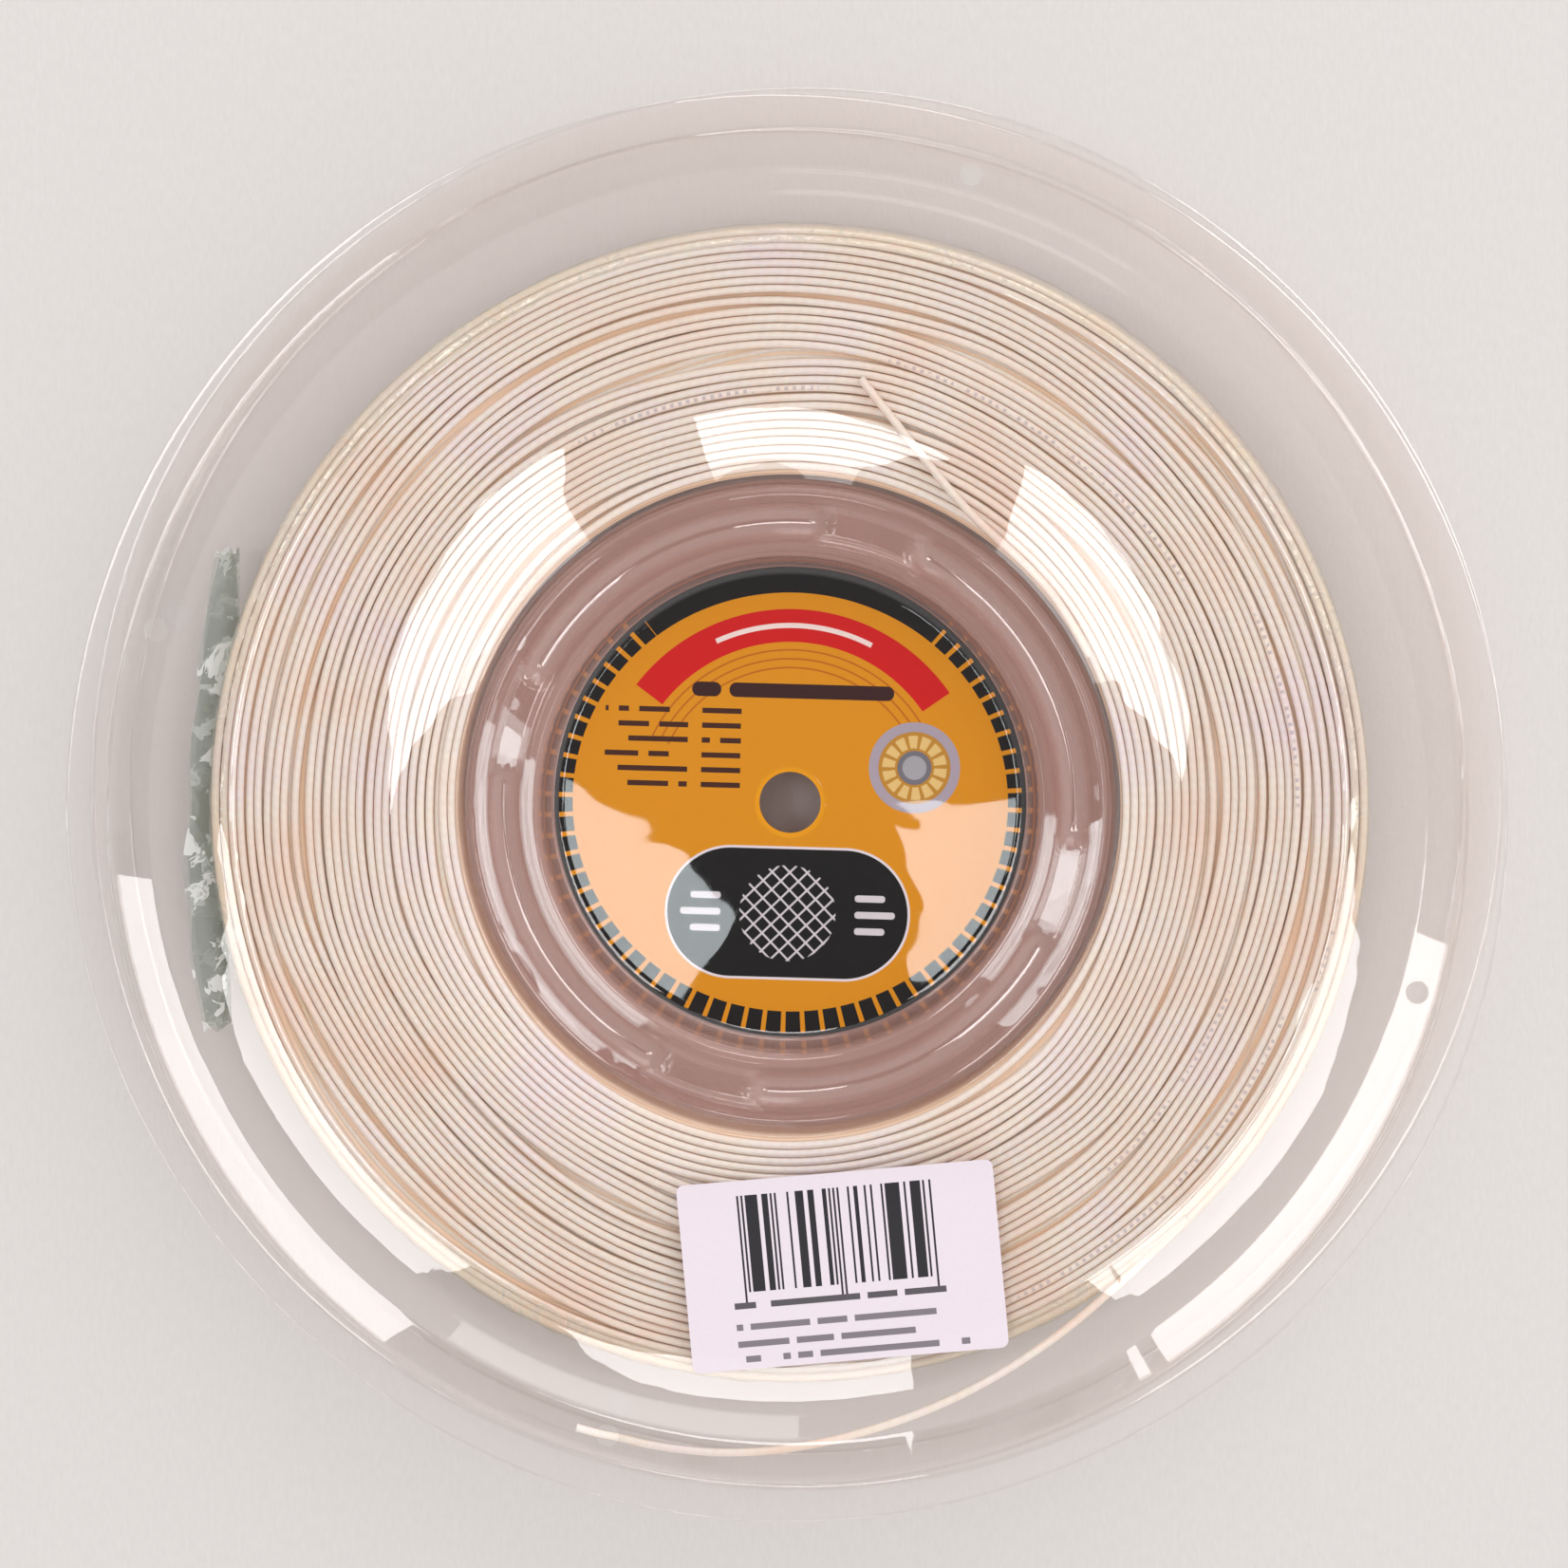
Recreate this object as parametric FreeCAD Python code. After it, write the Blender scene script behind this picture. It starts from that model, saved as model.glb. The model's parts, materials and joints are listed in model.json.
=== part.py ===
"""String reel: two thermoformed clear shells nested at the hub, a printed card held between
them, and a coil of racket string wound on the hub between the flanges.

Millimetres. The origin is the centre of the ring on which the reel rests, +Z runs along the
spindle towards the front shell, and +Y points to the top of the printed card.
"""
import FreeCAD, Part
import math
import os

Vector = FreeCAD.Vector

# Overall form. Heights below are measured from the middle plane between the two shells.
rim_radius = 112.5
crest_height = 18.0
sheet = 0.8

# Outer lip, the crest that the reel rests on, and the band with the string holes, each inside
# the one before. Drops are measured down from the crest.
lip_width = 5.8
lip_drop = 2.3
crest_width = 1.0
crest_side_width = 0.7
band_width = 5.5
band_drop = 1.7
step_width = 0.8
crest_outer_radius = rim_radius - lip_width
crest_inner_radius = crest_outer_radius - crest_width
band_outer_radius = crest_inner_radius - crest_side_width
band_inner_radius = band_outer_radius - band_width
step_foot_radius = band_inner_radius - step_width

# Between the band and the hub the flange is a shallow dish: a flat floor over the coil, and a
# cone that rises to the step.
dish_drop = 6.58
dish_rise = 3.58
dish_rise_width = 20.7
dish_height = crest_height - dish_drop
dish_floor_radius = step_foot_radius - dish_rise_width

# Hub recess of the front shell: mouth, flat ring, cup and the disc over the card.
mouth_radius = 50.9
mouth_draft = 0.6
ring_drop = 10.0
ring_width = 11.5
cup_draft = 1.4
spindle_hole_radius = 5.6
ring_height = crest_height - ring_drop
ring_outer_radius = mouth_radius - mouth_draft
cup_mouth_radius = ring_outer_radius - ring_width
cup_foot_radius = cup_mouth_radius - cup_draft

# Drum of the back shell, which rises to the underside of the front shell's ring.
drum_inset = 0.2
nest_gap = 0.15
drum_mouth_radius = mouth_radius - drum_inset
drum_top_radius = drum_mouth_radius - mouth_draft

# Four long beads stiffen the ring; the shells' beads nest in each other.
bead_count = 4
bead_inset = 5.4
bead_half_width = 2.45
bead_depth = 1.9
bead_draft = 30.0
bead_end_sides = 3
bead_span = 64.5
mould_turn = -17.0
bead_circle_radius = ring_outer_radius - bead_inset

# Printed card between the two discs.
card_edge_gap = 0.1
card_thickness = 0.5
card_hole_radius = 4.85
card_radius = cup_foot_radius - card_edge_gap
disc_height = card_thickness / 2 + sheet

# String, and the holes in each flange that take its end.
string_diameter = 1.34
string_sides = 6
string_hole_count = 4
string_hole_inset = 2.4
string_hole_clearance = 1.13
punch_turn = -15.9
string_hole_radius = string_diameter / 2 + string_hole_clearance
string_hole_circle_radius = band_outer_radius - string_hole_inset

# Coil: its inner layers as one ring round the drum, and its outer layer as open turns.
coil_outer_radius = 91.0
coil_bore_gap = 0.35
coil_back_gap = 0.3
tail_gap = 0.3
rest_gap = 0.15
turn_count = 4
turn_end_angle = -45.0
first_turn_margin = 1.0
last_turn_margin = 0.1

# The rounds on the coil's faces lie in bunches, with a gap one string deep between two bunches.
bunch_width = 12.0
bunch_gap = 1.6
bunch_gap_depth = string_diameter

# Clear film round the coil, and its gathered end on the chord beside it.
film_thickness = 0.25
film_gap = 0.15
film_edge_gap = 1.6
strip_reach = 1.9
strip_top_end = 37.5
strip_bottom_end = -38.5
strip_width = 6.2
strip_height = 15.0
strip_tilt = -1.5
strip_chord_distance = coil_outer_radius + strip_reach

# Price sticker on the front flange, near the middle of its dish.
sticker_length = 50.0
sticker_width = 30.0
sticker_thickness = 0.15
sticker_offset_x = 8.7
sticker_offset_y = 2.5
sticker_turn = 5.3

# Run of the outer string end, which leads off the coil along its last turn: angle, share of the
# way out from the coil to the circle of holes, and room left under the flange. It follows the
# flange and turns up through a string hole.
end_lead = 13.0
end_route = [
    (-64.0, 0.315, 2.55),
    (-75.0, 0.584, 1.72),
    (-86.0, 0.821, 1.83),
    (-94.5, 0.976, 0.88),
    (-101.4, 1.016, 0.43),
    (-105.15, 1.004, 0.28),
    (-106.75, 1.000, -2.39),
    (-108.70, 1.008, -2.45),
]

# Run of the inner string end over the face of the coil, hub end first: the angle of each bend
# and how far it stands out from the hub's mouth.
tail_route = [
    (26.90, 2.14),
    (35.59, 2.71),
    (45.45, 2.70),
    (58.13, 3.27),
    (70.51, 9.04),
    (80.40, 17.46),
]


def middle(height):
    """Height above the table of a height given from the middle plane."""
    return crest_height + height


def dish_outline(inner_radius):
    """Outer surface of the front flange's dish, as radius and height."""
    return [
        (inner_radius, dish_height),
        (dish_floor_radius, dish_height),
        (step_foot_radius, dish_height + dish_rise),
    ]


def flange_outline(inner_radius):
    """Outer surface of a flange from the hub mouth to the edge of its lip."""
    return dish_outline(inner_radius) + [
        (band_inner_radius, crest_height - band_drop),
        (band_outer_radius, crest_height - band_drop),
        (crest_inner_radius, crest_height),
        (crest_outer_radius, crest_height),
        (rim_radius, crest_height - lip_drop),
    ]


def flange_height(at_radius):
    """Height of the front flange's outer surface at a radius."""
    outline = flange_outline(mouth_radius)
    for (inner, low), (outer, high) in zip(outline, outline[1:]):
        if at_radius <= outer:
            break
    return low + (high - low) * (at_radius - inner) / (outer - inner)


def cup_radius(height):
    """Radius of the cup's wall on the front shell's outer surface at a height."""
    rise = ring_height - disc_height
    return cup_foot_radius + cup_draft * (height - disc_height) / rise


front_outline = [
    (spindle_hole_radius, disc_height),
    (cup_foot_radius, disc_height),
    (cup_mouth_radius, ring_height),
    (ring_outer_radius, ring_height),
] + flange_outline(mouth_radius)

# The back shell's rear surface follows the front shell's hub two sheets lower.
cup_slope = cup_draft / (ring_height - disc_height)
nest_shift = (2 * sheet + nest_gap) * math.hypot(1, cup_slope)
back_ring_height = ring_height - 2 * sheet
back_outline = [
    (spindle_hole_radius, -disc_height),
    (cup_radius(-disc_height) + nest_shift, -disc_height),
    (cup_radius(back_ring_height) + nest_shift, back_ring_height),
    (drum_top_radius, back_ring_height),
] + [(radius, -height) for radius, height in flange_outline(drum_mouth_radius)]


def unit(start, end):
    length = math.hypot(end[0] - start[0], end[1] - start[1])
    return (end[0] - start[0]) / length, (end[1] - start[1]) / length


def offset_outline(outline, distance):
    """The outline moved sideways, to the left of its run for a positive distance."""
    moved = []
    last = len(outline) - 1
    for index, (radius, height) in enumerate(outline):
        before = unit(outline[max(index - 1, 0)], outline[max(index, 1)])
        after = unit(outline[min(index, last - 1)], outline[min(index + 1, last)])
        share = distance / (1 + before[0] * after[0] + before[1] * after[1])
        moved.append((radius - (before[1] + after[1]) * share,
                      height + (before[0] + after[0]) * share))
    return moved


def point(place):
    return Vector(place[0], 0, middle(place[1]))


def ring_between(first, second):
    """Solid of revolution between two outlines."""
    corners = [point(place) for place in first + second[::-1]]
    face = Part.Face(Part.makePolygon(corners + corners[:1]))
    return face.revolve(Vector(0, 0, 0), Vector(0, 0, 1), 360)


def tube(outer, inner, low, high):
    """Upright tube between two heights above the table."""
    height = high - low
    wall = Part.makeCylinder(outer, height, Vector(0, 0, low))
    return wall.cut(Part.makeCylinder(inner, height, Vector(0, 0, low)))


def turned(shape, angle):
    copy = shape.copy()
    copy.rotate(Vector(0, 0, 0), Vector(0, 0, 1), angle)
    return copy


def bead_width(height, growth):
    """Half the width of a bead's channel at a height, its walls moved out by the growth."""
    draft = math.radians(bead_draft)
    return bead_half_width + growth / math.cos(draft) - (ring_height - height) * math.tan(draft)


def bead(growth, top_height):
    """A bead's channel: drafted walls round a flat floor, narrowed in flats at its ends."""
    floor_height = ring_height - bead_depth - growth
    floor_width = bead_width(floor_height, growth)
    top_width = bead_width(top_height, growth)
    corners = [
        point((bead_circle_radius - top_width, top_height)),
        point((bead_circle_radius - floor_width, floor_height)),
        point((bead_circle_radius + floor_width, floor_height)),
        point((bead_circle_radius + top_width, top_height)),
    ]
    section = Part.Face(Part.makePolygon(corners + corners[:1]))
    half = section.revolve(Vector(0, 0, 0), Vector(0, 0, 1), bead_span / 2)
    end = Part.makeLoft([bead_end(floor_width, floor_height), bead_end(top_width, top_height)],
                        True, True)
    half = half.fuse(turned(end, bead_span / 2))
    return half.fuse(half.mirror(Vector(0, 0, 0), Vector(0, 1, 0))).removeSplitter()


def bead_end(half_width, height):
    """Half a polygon across the bead circle, as wide as the bead at a height."""
    corners = []
    for index in range(bead_end_sides + 1):
        turn = math.pi * index / bead_end_sides
        corners.append(point((bead_circle_radius + half_width * math.cos(turn), height)))
        corners[-1].y = half_width * math.sin(turn)
    return Part.makePolygon(corners + corners[:1])


def press_beads(shell, top_height, growth):
    """Form the beads in a shell's ring: the sheet keeps its thickness round each one."""
    wall = bead(growth + sheet, top_height)
    channel = bead(growth, crest_height)
    for index in range(bead_count):
        angle = mould_turn + (index + 0.5) * 360 / bead_count
        shell = shell.fuse(turned(wall, angle))
        shell = shell.cut(turned(channel, angle))
    return shell


def punch_string_holes(shell):
    for index in range(string_hole_count):
        hole = Part.makeCylinder(string_hole_radius, middle(crest_height),
                                 Vector(string_hole_circle_radius, 0, 0))
        shell = shell.cut(turned(hole, punch_turn + index * 360 / string_hole_count))
    return shell


def make_front_shell():
    shell = ring_between(front_outline, offset_outline(front_outline, -sheet))
    shell = press_beads(shell, ring_height, 0)
    return punch_string_holes(shell)


def make_back_shell():
    shell = ring_between(back_outline, offset_outline(back_outline, sheet))
    shell = press_beads(shell, ring_height - sheet, sheet + nest_gap)
    return punch_string_holes(shell)


def make_label_card():
    low = middle(-card_thickness / 2)
    return tube(card_radius, card_hole_radius, low, low + card_thickness)


def coil_front():
    """Height above the table of the inner layers' face under the front flange."""
    return middle(dish_height - sheet - 2 * tail_gap - string_diameter)


def coil_back():
    return middle(sheet + coil_back_gap - dish_height)


def coil_bore():
    """Radius at which the coil clears the drum."""
    return drum_mouth_radius + sheet + coil_bore_gap


def core_radius():
    """Radius of the inner layers, under the outer layer of turns."""
    return coil_outer_radius - string_diameter - rest_gap


def coil_face(height, deeper):
    """Outline of a face of the inner layers, with the gaps between its bunches of rounds."""
    width = core_radius() - coil_bore()
    gap_count = int(width / bunch_width)
    first = coil_bore() + (width - (gap_count - 1) * bunch_width) / 2
    corners = [(coil_bore(), height)]
    for index in range(gap_count):
        gap_radius = first + index * bunch_width
        corners += [
            (gap_radius - bunch_gap / 2, height),
            (gap_radius, height + deeper * bunch_gap_depth),
            (gap_radius + bunch_gap / 2, height),
        ]
    return corners + [(core_radius(), height)]


def make_string_core():
    return ring_between(coil_face(coil_back() - crest_height, 1),
                        coil_face(coil_front() - crest_height, -1))


def turn_radius():
    """Radius of the outer layer's centre line."""
    return coil_outer_radius - string_diameter / 2


def turn_pitch():
    """Rise of the outer layer in one turn."""
    first = coil_back() + string_diameter / 2 + first_turn_margin
    return (last_turn_height() - first) / turn_count


def last_turn_height():
    return coil_front() - string_diameter / 2 - last_turn_margin


def turn_place(turns):
    """Place on the outer layer, a number of turns before its end."""
    angle = math.radians(turn_end_angle + 360 * turns)
    radius = turn_radius()
    height = last_turn_height() - turn_pitch() * turns
    return Vector(radius * math.cos(angle), radius * math.sin(angle), height)


def turn_heading(turns):
    """Direction of the string on the outer layer, a number of turns before its end."""
    angle = math.radians(turn_end_angle + 360 * turns)
    around = 2 * math.pi * turn_radius()
    return Vector(around * math.sin(angle), -around * math.cos(angle), turn_pitch()).normalize()


def tangent_arc(start, corner, end):
    """Arc from start to end whose tangents there meet at the corner."""
    chord_middle = (start + end) * 0.5
    half_chord = (end - start).Length / 2
    leg = (corner - start).Length
    depth = (corner - chord_middle).Length
    crown = chord_middle + (corner - chord_middle) * (half_chord / (leg + half_chord))
    if depth < 1e-6:
        return Part.LineSegment(start, end).toShape()
    return Part.Arc(start, crown, end).toShape()


def biarc(start, start_heading, end, end_heading):
    """Two arcs with one tangent where they join, from one heading to another."""
    span = end - start
    total = start_heading + end_heading
    a = 2 * (1 - start_heading.dot(end_heading))
    b = 2 * span.dot(total)
    c = -span.dot(span)
    reach = (-b + math.sqrt(b * b - 4 * a * c)) / (2 * a)
    first = start + start_heading * reach
    second = end - end_heading * reach
    join = (first + second) * 0.5
    return [tangent_arc(start, first, join), tangent_arc(join, second, end)]


def make_string_turns():
    """Outer layer of the coil, one unbroken string from the back flange to the front one."""
    start = turn_place(turn_count) - turn_heading(turn_count) * string_diameter
    edges = [Part.LineSegment(start, turn_place(turn_count)).toShape()]
    for index in range(2 * turn_count, 0, -1):
        before = index / 2
        after = (index - 1) / 2
        edges += biarc(turn_place(before), turn_heading(before),
                       turn_place(after), turn_heading(after))
    edges.append(Part.LineSegment(turn_place(0), end_start()).toShape())
    spine = Part.Wire(edges)
    print("string turns: length", round(spine.Length, 1), "mm, pitch", round(turn_pitch(), 2))
    print("string turns: least gap to itself", round(least_gap(spine), 2), "mm")
    return swept(spine, string_section(start, turn_heading(turn_count)))


def end_start():
    """Where the outer turns run out into the string's outer end."""
    return turn_place(0) + turn_heading(0) * string_diameter


def string_section(place, heading):
    """Regular polygon as wide as the string, square to its run."""
    out = Vector(place.x, place.y, 0).normalize()
    up = heading.cross(out).normalize()
    corners = []
    for index in range(string_sides + 1):
        angle = 2 * math.pi * (index + 0.5) / string_sides
        offset = up.cross(heading) * math.cos(angle) + up * math.sin(angle)
        corners.append(place + offset * (string_diameter / 2))
    return Part.makePolygon(corners)


def swept(spine, section):
    pipe = Part.BRepOffsetAPI.MakePipeShell(spine)
    pipe.add(section)
    pipe.build()
    pipe.makeSolid()
    return pipe.shape()


def least_gap(spine):
    """Least distance between neighbouring turns, measured on points, less the string."""
    places = spine.discretize(Number=60 * turn_count)
    skip = 30
    least = spine.Length
    for index, place in enumerate(places):
        for other in places[index + skip:]:
            least = min(least, (place - other).Length)
    return least - string_diameter


def cord_wire(corners, name):
    """Straight runs joined by arcs as large as the runs allow."""
    edges = []
    radii = []
    start = corners[0]
    for index in range(1, len(corners) - 1):
        corner = corners[index]
        before = corner - corners[index - 1]
        after = corners[index + 1] - corner
        turn = before.getAngle(after)
        shorter = min(before.Length, after.Length)
        reach = 0.45 * shorter
        entry = corner - before.normalize() * reach
        leave = corner + after.normalize() * reach
        edges.append(Part.LineSegment(start, entry).toShape())
        edges.append(tangent_arc(entry, corner, leave))
        radii.append(round(reach / math.tan(turn / 2), 1))
        start = leave
    edges.append(Part.LineSegment(start, corners[-1]).toShape())
    wire = Part.Wire(edges)
    print(name + ": length", round(wire.Length, 1), "mm, bend radii", radii)
    return wire


def make_cord(corners, name):
    spine = cord_wire(corners, name)
    heading = (corners[1] - corners[0]).normalize()
    section = string_section(corners[0], heading)
    shape = swept(spine, section)
    expected = spine.Length * Part.Face(section).Area
    print(name + ": volume over section times length", round(shape.Volume / expected, 4))
    return shape


def make_string_end():
    corners = [end_start(), end_start() + turn_heading(0) * end_lead]
    for angle, share, room in end_route:
        turn = math.radians(angle)
        radius = turn_radius() + share * (string_hole_circle_radius - turn_radius())
        height = flange_height(radius) - sheet - room - string_diameter / 2
        corners.append(Vector(radius * math.cos(turn), radius * math.sin(turn), middle(height)))
    return make_cord(corners, "string end")


def make_string_tail():
    corners = []
    for angle, distance in tail_route:
        turn = math.radians(angle)
        radius = mouth_radius + distance
        height = flange_height(radius) - sheet - tail_gap - string_diameter / 2
        corners.append(Vector(radius * math.cos(turn), radius * math.sin(turn), middle(height)))
    return make_cord(corners, "string tail")


def make_wrap_film():
    inner = coil_outer_radius + film_gap
    return tube(inner + film_thickness, inner, coil_back() + film_edge_gap,
                coil_front() - film_edge_gap)


def make_film_strip():
    """Gathered end of the film: straight outside, hollowed to the coil inside."""
    low = middle(-strip_height / 2)
    length = strip_top_end - strip_bottom_end
    block = Part.makeBox(strip_width, length, strip_height,
                         Vector(-strip_chord_distance, strip_bottom_end, low))
    block.rotate(Vector(-strip_chord_distance, 0, 0), Vector(0, 0, 1), strip_tilt)
    film_radius = coil_outer_radius + film_gap + film_thickness + film_gap
    return block.cut(Part.makeCylinder(film_radius, middle(crest_height)))


def make_barcode_sticker():
    flange = dish_outline(mouth_radius)
    skin = ring_between(offset_outline(flange, sticker_thickness), flange)
    block = Part.makeBox(sticker_length, sticker_width, middle(crest_height),
                         Vector(-sticker_length / 2, -sticker_width / 2, 0))
    block.rotate(Vector(0, 0, 0), Vector(0, 0, 1), sticker_turn)
    dish_middle = (mouth_radius + step_foot_radius) / 2
    block.translate(Vector(sticker_offset_x, sticker_offset_y - dish_middle, 0))
    return skin.common(block)


makers = {
    "front_shell": make_front_shell,
    "back_shell": make_back_shell,
    "label_card": make_label_card,
    "string_core": make_string_core,
    "string_turns": make_string_turns,
    "string_end": make_string_end,
    "string_tail": make_string_tail,
    "wrap_film": make_wrap_film,
    "film_strip": make_film_strip,
    "barcode_sticker": make_barcode_sticker,
}

os.makedirs("parts", exist_ok=True)
for name, maker in makers.items():
    shape = maker()
    if shape.ShapeType == "Compound" and len(shape.Solids) == 1:
        shape = shape.Solids[0]
    shape.exportStep("parts/" + name + ".step")
    print(name, "solids", len(shape.Solids), "volume", round(shape.Volume, 1), "valid",
          shape.isValid())
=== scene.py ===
import json
import math
import random

import bpy
from mathutils import Matrix, Vector, noise

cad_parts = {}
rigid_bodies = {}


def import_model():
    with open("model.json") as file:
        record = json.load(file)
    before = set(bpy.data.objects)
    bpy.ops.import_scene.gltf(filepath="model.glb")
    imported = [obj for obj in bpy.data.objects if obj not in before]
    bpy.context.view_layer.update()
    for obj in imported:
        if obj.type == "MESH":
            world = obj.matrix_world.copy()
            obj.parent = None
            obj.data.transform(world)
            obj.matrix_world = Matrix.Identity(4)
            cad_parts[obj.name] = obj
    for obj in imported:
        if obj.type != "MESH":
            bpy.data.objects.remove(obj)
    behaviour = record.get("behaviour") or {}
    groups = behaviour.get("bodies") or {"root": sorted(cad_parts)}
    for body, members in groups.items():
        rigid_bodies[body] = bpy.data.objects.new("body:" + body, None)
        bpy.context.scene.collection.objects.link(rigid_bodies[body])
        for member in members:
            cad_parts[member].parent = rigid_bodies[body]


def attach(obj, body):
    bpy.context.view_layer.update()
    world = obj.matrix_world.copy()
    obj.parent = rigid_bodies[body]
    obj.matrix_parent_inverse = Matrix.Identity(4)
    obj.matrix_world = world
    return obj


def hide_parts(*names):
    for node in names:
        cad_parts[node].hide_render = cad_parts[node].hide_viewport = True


for leftover in list(bpy.data.objects):
    bpy.data.objects.remove(leftover)
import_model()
bpy.context.view_layer.update()


# Back flange: one clear sheet of 0.8 mm, vacuum formed over a mould. Its hub is a drum that rises
# to the front flange's ring and carries the coil; cup, ring and beads nest behind the front ones.


class Wire:
    """A socket of a material's nodes. Sums and comparisons with it add Math nodes."""

    def __init__(self, tree, socket=None):
        self.tree = tree
        self.socket = socket

    def add(self, kind, settings, inputs, output=0):
        """Any other node: its settings, the values or wires of its sockets, and its output."""
        node = self.tree.nodes.new(kind)
        stops = settings.pop("stops", [])
        for name, value in settings.items():
            setattr(node, name, value)
        for _ in stops[2:]:
            node.color_ramp.elements.new(0.5)
        for element, (place, colour) in zip(node.color_ramp.elements if stops else [], stops):
            element.position = place
            element.color = colour
        for name, value in inputs.items():
            if isinstance(value, Wire):
                self.tree.links.new(value.socket, node.inputs[name])
            else:
                node.inputs[name].default_value = value
        return Wire(self.tree, node.outputs[output] if node.outputs else None)

    def output(self, index):
        """Another output of the node that this wire comes from."""
        return Wire(self.tree, self.socket.node.outputs[index])

    def math(self, operation, *values):
        return self.add("ShaderNodeMath", {"operation": operation}, dict(enumerate(values)))

    def blend(self, factor, first, second):
        """Colour mixed from the first to the second by a factor."""
        return self.add("ShaderNodeMix", {"data_type": "RGBA"}, {0: factor, 6: first, 7: second}, 2)

    def between(self, low, high):
        """1 where the value lies between two numbers."""
        return (self > low) * (self < high)

    def __add__(self, other):
        return self.math("ADD", self, other)

    def __radd__(self, other):
        return self.math("ADD", other, self)

    def __sub__(self, other):
        return self.math("SUBTRACT", self, other)

    def __rsub__(self, other):
        return self.math("SUBTRACT", other, self)

    def __mul__(self, other):
        return self.math("MULTIPLY", self, other)

    def __rmul__(self, other):
        return self.math("MULTIPLY", other, self)

    def __gt__(self, other):
        return self.math("GREATER_THAN", self, other)

    def __lt__(self, other):
        return self.math("LESS_THAN", self, other)


def finish(name):
    """A new material and the wire that adds its nodes."""
    material = bpy.data.materials.new(name)
    material.use_nodes = True
    material.node_tree.nodes.clear()
    return material, Wire(material.node_tree)


def colour(red, green, blue):
    """Colour as a picture has it, 0 to 255, for a shader's socket."""
    return tuple((part / 255) ** 2.2 for part in (red, green, blue)) + (1.0,)


def clear_sheet(name, tint, haze, dust_and_hub_shade, hub_shade_radius):
    """Formed clear plastic: gloss that grows towards its edges, fine scuffs and dust, and a
    pinkish-brown painted shade over its hub.
    """
    material, wire = finish(name)
    place = wire.add("ShaderNodeTexCoord", {}, {}, "Object")
    scuff = wire.add("ShaderNodeTexNoise", {}, {"Vector": place, "Scale": 700.0, "Detail": 1.0})
    reach = wire.add("ShaderNodeVectorMath", {"operation": "LENGTH"}, {
        0: wire.add("ShaderNodeVectorMath", {"operation": "MULTIPLY"}, {
            0: place, 1: (1.0, 1.0, 0.0)})}, "Value")
    facing = wire.add("ShaderNodeLayerWeight", {}, {"Blend": 0.5}, "Facing")
    gloss = wire.math("MINIMUM", wire.math("POWER", facing, 5.0) * 0.95 + 0.035, 0.95)
    through = wire.add("ShaderNodeBsdfTransparent", {}, {"Color": tint})
    mirror = wire.add("ShaderNodeBsdfPrincipled", {}, {
        "Base Color": (0.98, 0.97, 0.97, 1.0), "Metallic": 1.0, "Roughness": 0.005 + scuff * 0.010})
    sheen = wire.add("ShaderNodeMixShader", {}, {0: gloss, 1: through, 2: mirror})
    dust = wire.add("ShaderNodeBsdfPrincipled", {}, {"Base Color": dust_and_hub_shade, "Roughness": 0.6})
    # Haze and scuffs are dust on the sheet; inside the hub radius the same colour, laid at 0.19, is
    # painted shade for the warm shade that falls in the hub.
    worn = haze + (scuff > 0.68) * haze + (reach < hub_shade_radius) * 0.19
    whole = wire.add("ShaderNodeMixShader", {}, {0: worn, 1: sheen, 2: dust})
    wire.add("ShaderNodeOutputMaterial", {}, {"Surface": whole})
    return material


def pick(*pieces):
    """Select these pieces only; the first is the active one."""
    bpy.ops.object.select_all(action="DESELECT")
    for piece in pieces:
        piece.select_set(True)
    bpy.context.view_layer.objects.active = pieces[0]


def corner_at(mesh, radius, height):
    """Select the vertex of an outline nearest to a place."""
    for part in (mesh.edges, mesh.vertices):
        part.foreach_set("select", [False] * len(part))
    near = min(mesh.vertices, key=lambda v: math.hypot(v.co.x - radius, v.co.z - height))
    near.select = True


def draw_outline(name, places, closed=False):
    """A line through places of (radius, height), beside the spindle's axis, to be spun round it."""
    links = len(places) if closed else len(places) - 1
    mesh = bpy.data.meshes.new(name)
    mesh.from_pydata([(radius, 0, height) for radius, height in places],
                     [(index, (index + 1) % len(places)) for index in range(links)], [])
    piece = bpy.data.objects.new(name, mesh)
    bpy.context.collection.objects.link(piece)
    pick(piece)
    return piece


def spin_round(steps):
    """From edit mode, spin the outline once round the axis, close its seam and leave edit mode."""
    bpy.ops.mesh.select_all(action="SELECT")
    bpy.ops.mesh.spin(steps=steps, angle=2 * math.pi, center=(0, 0, 0), axis=(0, 0, 1),
                      use_auto_merge=True)
    bpy.ops.mesh.select_all(action="SELECT")
    bpy.ops.mesh.remove_doubles(threshold=1e-6)
    bpy.ops.mesh.normals_make_consistent(inside=False)
    bpy.ops.object.mode_set(mode="OBJECT")


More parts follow.
